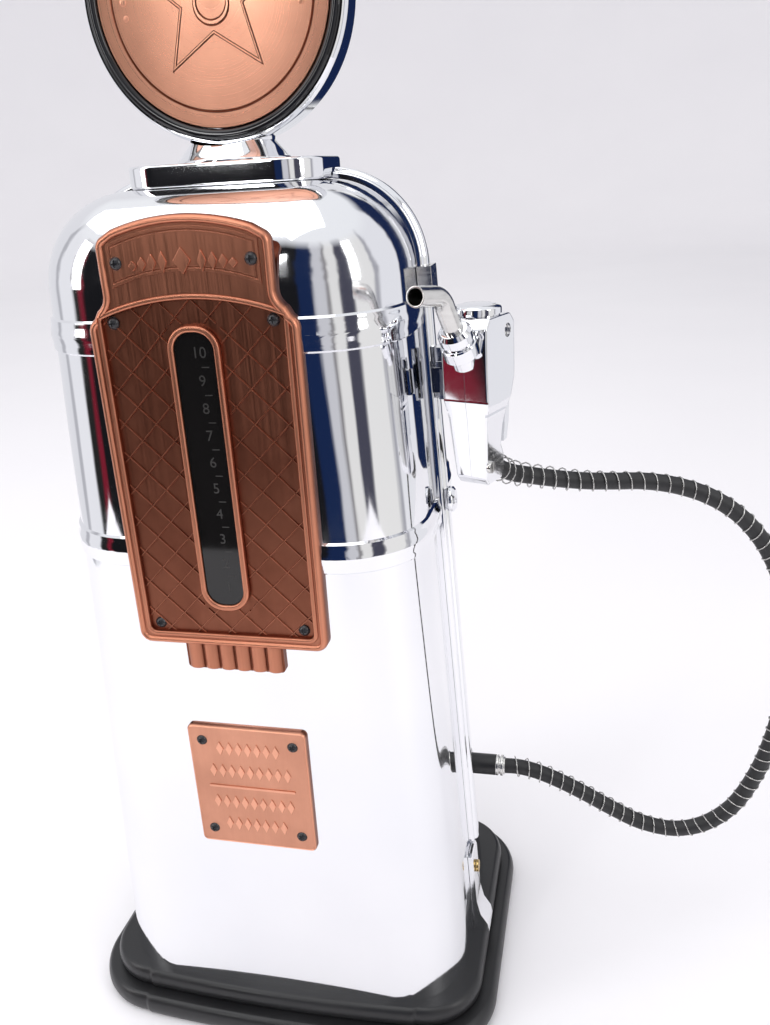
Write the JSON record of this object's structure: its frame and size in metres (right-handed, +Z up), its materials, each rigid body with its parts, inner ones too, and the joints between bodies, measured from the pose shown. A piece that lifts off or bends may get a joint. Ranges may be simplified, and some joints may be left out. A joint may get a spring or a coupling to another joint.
{
  "type": "drinks dispenser",
  "caption": "Table-top drinks dispenser shaped like a vintage gas pump, with a lift-off globe lid, a sight window and a trigger nozzle on a hose.",
  "frame": {"origin": "middle of the underside of the base", "axes": "+Z up, -Y towards the front, +X towards the side with the nozzle"},
  "size_m": [0.296, 0.139, 0.4435],
  "materials": {
    "chrome": "bright chrome plate on moulded plastic",
    "copper": "antique copper plate, brushed, darkened in the recesses",
    "black_plastic": "satin black moulded plastic",
    "gloss_black": "gloss black",
    "steel": "bright turned steel",
    "brass": "plain brass",
    "black_screw": "black oxide",
    "rubber": "black rubber",
    "hose_rubber": "black rubber hose with a fine steel wire wound round it",
    "seal_rubber": "soft seal rubber",
    "clear_plastic": "clear moulded plastic",
    "white_plastic": "white moulded plastic",
    "scale_white": "printed level scale",
    "dark_glass": "smoked clear plastic window"
  },
  "bodies": {
    "root": {"base_plinth": "black_plastic", "base_cover": "black_plastic", "cover_screws": "steel", "foot_pads": "rubber", "front_shell": "chrome", "rear_shell": "chrome", "arch_trim": "chrome", "trim_ferrule": "steel", "side_bosses": "chrome", "side_brackets": "chrome", "bracket_screws": "brass", "tank": "clear_plastic", "tank_outlet": "steel", "window_lens": "dark_glass", "level_scale": "scale_white", "window_rim": "copper", "bezel": "copper", "lattice_panel": "copper", "name_plate": "copper", "trim_screws": "black_screw", "lower_plaque": "copper", "plaque_screws": "black_screw", "nozzle_cradle": "chrome", "cradle_screws": "steel", "side_port": "black_plastic", "port_ferrule": "steel", "hose": "hose_rubber"},
    "lid": {"top_plate": "chrome", "filler_plug": "white_plastic", "filler_gasket": "seal_rubber", "globe_stem": "chrome", "globe_front": "chrome", "globe_rear": "chrome", "front_ring": "gloss_black", "rear_ring": "gloss_black", "front_disc": "copper", "rear_disc": "copper"},
    "nozzle": {"nozzle_left": "chrome", "nozzle_right": "chrome", "nozzle_cap": "chrome", "nozzle_screws": "steel", "spout": "steel", "spout_collar": "chrome", "trigger_pin": "steel", "valve_seal": "seal_rubber", "nozzle_ferrule": "steel"},
    "trigger": {"trigger": "chrome"},
    "valve": {"valve_stem": "steel", "valve_spring": "steel"}
  },
  "joints": [
    {"name": "lid_lift", "type": "slide", "parent": "root", "child": "lid", "axis": [0, 0, 1], "range_m": [0, 0.05]},
    {"name": "nozzle_lift", "type": "slide", "parent": "root", "child": "nozzle", "axis": [0, 0, 1], "range_m": [0, 0.025]},
    {"name": "trigger_pull", "type": "hinge", "parent": "nozzle", "child": "trigger", "pos_m": [0.08924, -0.02148, 0.268], "axis": [-0.9397, 0.342, 0], "range_deg": [0, 16], "stiffness_Nm_per_rad": 0.02},
    {"name": "valve_travel", "type": "slide", "parent": "nozzle", "child": "valve", "axis": [-0.342, -0.9397, 0], "range_m": [0, 0.0018]}
  ],
  "couplings": [
    {"joint": "valve_travel", "follows": "trigger_pull", "m_per_rad": 0.0062}
  ]
}
